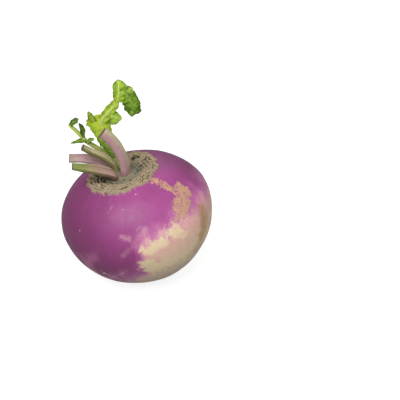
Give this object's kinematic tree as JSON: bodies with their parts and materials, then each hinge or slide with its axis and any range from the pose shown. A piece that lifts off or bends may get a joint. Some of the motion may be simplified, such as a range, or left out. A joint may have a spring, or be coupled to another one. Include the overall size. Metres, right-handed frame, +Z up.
{
  "type": "turnip",
  "caption": "Purple-topped turnip root leaning on a small flat of its belly, with a corky crown of trimmed leaf stalks and a little young leaf.",
  "frame": {"origin": "middle of the small flat on the belly that the turnip rests on", "axes": "+Z up; the turnip's own axis leans about 14 degrees from +Z towards -X, so the crown and the stalks point up and to -X; -Y is the side seen first"},
  "size_m": [0.0891, 0.09, 0.1224],
  "materials": {
    "root_skin": "smooth waxy skin, purple over the top and cream below, with tan corky scabs",
    "stalk_skin": "fine-ribbed stalk skin, olive green with a mauve flush",
    "leaf_skin": "soft puckered young leaf, yellow green to dark green"
  },
  "bodies": {
    "root": {"root": "root_skin", "tall_stalk": "stalk_skin", "middle_stalk": "stalk_skin", "low_stalk": "stalk_skin", "back_stalk": "stalk_skin", "large_leaf": "leaf_skin", "small_leaf": "leaf_skin"}
  },
  "joints": []
}
